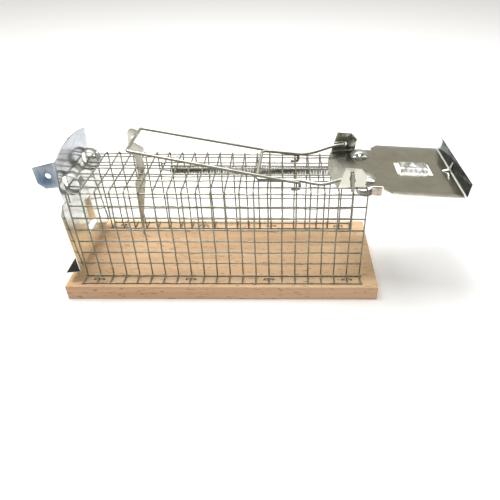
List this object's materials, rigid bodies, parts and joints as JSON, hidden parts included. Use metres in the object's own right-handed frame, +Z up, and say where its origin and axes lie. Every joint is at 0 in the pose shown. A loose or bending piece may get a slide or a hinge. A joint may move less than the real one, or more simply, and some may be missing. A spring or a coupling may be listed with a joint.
{
  "type": "live catch trap",
  "caption": "Wire mesh tunnel trap on a wooden board, with hinged sheet-metal end doors, a wire bail latch and a hanging bait trigger.",
  "frame": {"origin": "centre of the board's underside", "axes": "+X along the tunnel towards the door that is set open, +Z up"},
  "size_m": [0.3764, 0.12, 0.1499],
  "materials": {
    "beech": "planed, unvarnished",
    "mesh_wire": "dull zinc coating",
    "bright_wire": "bright drawn wire, zinc plated",
    "door_sheet": "smooth bright zinc sheet",
    "trigger_sheet": "stamped zinc sheet",
    "spring_steel": "zinc plated spring wire"
  },
  "bodies": {
    "cage": {"base_board": "beech", "mesh_near_flange": "mesh_wire", "mesh_near_wall": "mesh_wire", "mesh_roof": "mesh_wire", "mesh_far_wall": "mesh_wire", "mesh_far_flange": "mesh_wire", "staple_near_1": "bright_wire", "staple_near_2": "bright_wire", "staple_near_3": "bright_wire", "staple_near_4": "bright_wire", "staple_far_1": "bright_wire", "staple_far_2": "bright_wire", "staple_far_3": "bright_wire", "staple_far_4": "bright_wire", "trigger_pivot_pin": "bright_wire", "spring": "spring_steel", "spring_anchor_link": "spring_steel"},
    "front_door": {"front_door": "door_sheet", "door_arm": "bright_wire", "spring_tail_ring": "spring_steel"},
    "rear_door": {"rear_door": "door_sheet"},
    "bail": {"bail": "bright_wire"},
    "trigger": {"trigger": "trigger_sheet"}
  },
  "joints": [
    {"name": "front_door_hinge", "type": "hinge", "parent": "cage", "child": "front_door", "pos_m": [0.13335, 0, 0.108], "axis": [0, 1, 0], "range_deg": [0, 89.9], "deforming": ["spring"]},
    {"name": "rear_door_hinge", "type": "hinge", "parent": "cage", "child": "rear_door", "pos_m": [-0.13335, 0, 0.108], "axis": [0, 1, 0], "range_deg": [0, 89.9]},
    {"name": "bail_pivot", "type": "hinge", "parent": "cage", "child": "bail", "pos_m": [0.06985, 0, 0.108], "axis": [0, 1, 0], "range_deg": [0, 111.1]},
    {"name": "trigger_pivot", "type": "hinge", "parent": "cage", "child": "trigger", "pos_m": [-0.0762, 0, 0.106], "axis": [0, -1, 0], "range_deg": [0, 20]}
  ],
  "couplings": [
    {"joint": "bail_pivot", "follows": "front_door_hinge", "ratio": 1.235}
  ]
}
